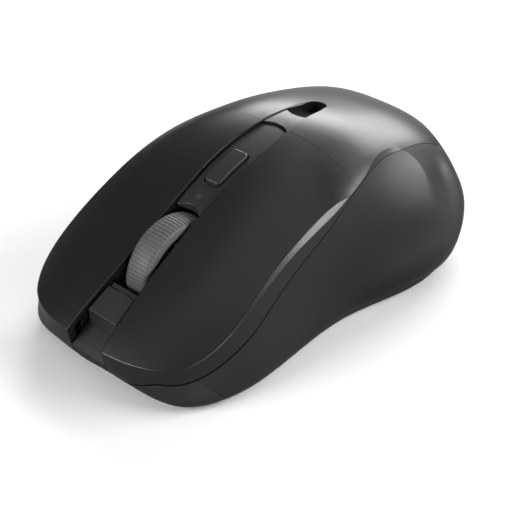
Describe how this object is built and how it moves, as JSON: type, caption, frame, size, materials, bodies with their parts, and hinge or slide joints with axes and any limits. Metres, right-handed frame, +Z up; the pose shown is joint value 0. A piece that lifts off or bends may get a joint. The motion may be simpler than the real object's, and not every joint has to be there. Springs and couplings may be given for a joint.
{
  "type": "wireless computer mouse",
  "caption": "Full-size wireless mouse: two sprung keys, ribbed click wheel, small raised button behind it, domed palm cover, soft side grips and a battery door underneath.",
  "frame": {"origin": "on the desk under the middle of the mouse's box", "axes": "+Z up, nose towards -Y, the user's left (thumb) side towards +X"},
  "size_m": [0.0664, 0.1035, 0.0386],
  "materials": {
    "cover": "satin black moulded plastic",
    "key": "satin black moulded plastic, glossy skirt",
    "grip": "matte soft-touch skin",
    "case": "fine textured dark plastic",
    "console": "dark satin plastic",
    "tray": "dark plastic",
    "tyre": "fine ribbed soft rubber",
    "hub": "moulded plastic",
    "skate": "low-friction pad",
    "board": "solder-masked board",
    "switch_body": "black switch body",
    "plunger": "light plunger",
    "chip": "moulded package",
    "lens": "clear moulded lens",
    "steel": "zinc-plated steel",
    "contact": "nickel-plated spring sheet",
    "cell": "plain sleeved cell",
    "can": "sleeved can",
    "receiver": "black plastic",
    "window": "translucent light guide"
  },
  "bodies": {
    "base": {"palm_cover": "cover", "left_grip": "grip", "right_grip": "grip", "bottom_case": "case", "front_skate": "skate", "left_rear_skate": "skate", "right_rear_skate": "skate", "channel_tray": "tray", "front_bridge": "console", "console_bar": "console", "indicator_window": "window", "cradle_mounts": "hub", "main_board": "board", "left_switch": "switch_body", "right_switch": "switch_body", "wheel_switch": "switch_body", "dpi_board": "board", "dpi_switch": "switch_body", "sensor_chip": "chip", "sensor_lens": "lens", "wheel_emitter": "lens", "wheel_detector": "chip", "controller_chip": "chip", "crystal": "steel", "capacitors": "can", "power_switch": "switch_body", "left_cell": "cell", "right_cell": "cell", "spring_contacts": "contact", "rear_contact": "contact", "case_screws": "steel", "board_screws": "steel"},
    "left_key": {"left_key": "key"},
    "right_key": {"right_key": "key"},
    "left_plunger": {"left_plunger": "plunger"},
    "right_plunger": {"right_plunger": "plunger"},
    "dpi_button": {"dpi_button": "console"},
    "wheel_cradle": {"wheel_cradle": "hub"},
    "wheel": {"wheel_core": "hub", "wheel_tyre": "tyre"},
    "wheel_plunger": {"wheel_plunger": "plunger"},
    "power_slider": {"power_slider": "plunger"},
    "battery_door": {"battery_door": "case"},
    "receiver": {"receiver_shell": "receiver", "receiver_plug": "steel"}
  },
  "joints": [
    {"name": "left_key_press", "type": "hinge", "parent": "base", "child": "left_key", "pos_m": [0, 0.007, 0.0306], "axis": [1, 0, 0], "range_deg": [0, 0.3], "stiffness_Nm_per_rad": 4, "springref_deg": -0.17},
    {"name": "right_key_press", "type": "hinge", "parent": "base", "child": "right_key", "pos_m": [0, 0.007, 0.0306], "axis": [1, 0, 0], "range_deg": [0, 0.3], "stiffness_Nm_per_rad": 4, "springref_deg": -0.17},
    {"name": "left_plunger_travel", "type": "slide", "parent": "base", "child": "left_plunger", "axis": [0, 0, -1], "range_m": [0, 0.0003]},
    {"name": "right_plunger_travel", "type": "slide", "parent": "base", "child": "right_plunger", "axis": [0, 0, -1], "range_m": [0, 0.0003]},
    {"name": "dpi_press", "type": "slide", "parent": "base", "child": "dpi_button", "axis": [0, 0, -1], "range_m": [0, 0.0004], "stiffness_N_per_m": 2500, "springref_m": -0.0001},
    {"name": "wheel_click", "type": "hinge", "parent": "base", "child": "wheel_cradle", "pos_m": [0, -0.0102, 0.012], "axis": [1, 0, 0], "range_deg": [0, 1], "stiffness_Nm_per_rad": 0.6, "springref_deg": -0.46},
    {"name": "wheel_spin", "type": "hinge", "parent": "wheel_cradle", "child": "wheel", "pos_m": [0, -0.025, 0.0156], "axis": [1, 0, 0], "continuous": true},
    {"name": "wheel_plunger_travel", "type": "slide", "parent": "base", "child": "wheel_plunger", "axis": [0, 0, -1], "range_m": [0, 0.0006]},
    {"name": "power_slide", "type": "slide", "parent": "base", "child": "power_slider", "axis": [1, 0, 0], "range_m": [0, 0.0029]},
    {"name": "door_slide", "type": "slide", "parent": "base", "child": "battery_door", "axis": [0, 1, 0], "range_m": [0, 0.012]},
    {"name": "receiver_pull", "type": "slide", "parent": "base", "child": "receiver", "axis": [0, 0, -1], "range_m": [0, 0.012]}
  ],
  "couplings": [
    {"joint": "left_plunger_travel", "follows": "left_key_press", "m_per_rad": 0.043},
    {"joint": "right_plunger_travel", "follows": "right_key_press", "m_per_rad": 0.043},
    {"joint": "wheel_plunger_travel", "follows": "wheel_click", "m_per_rad": 0.0301}
  ]
}
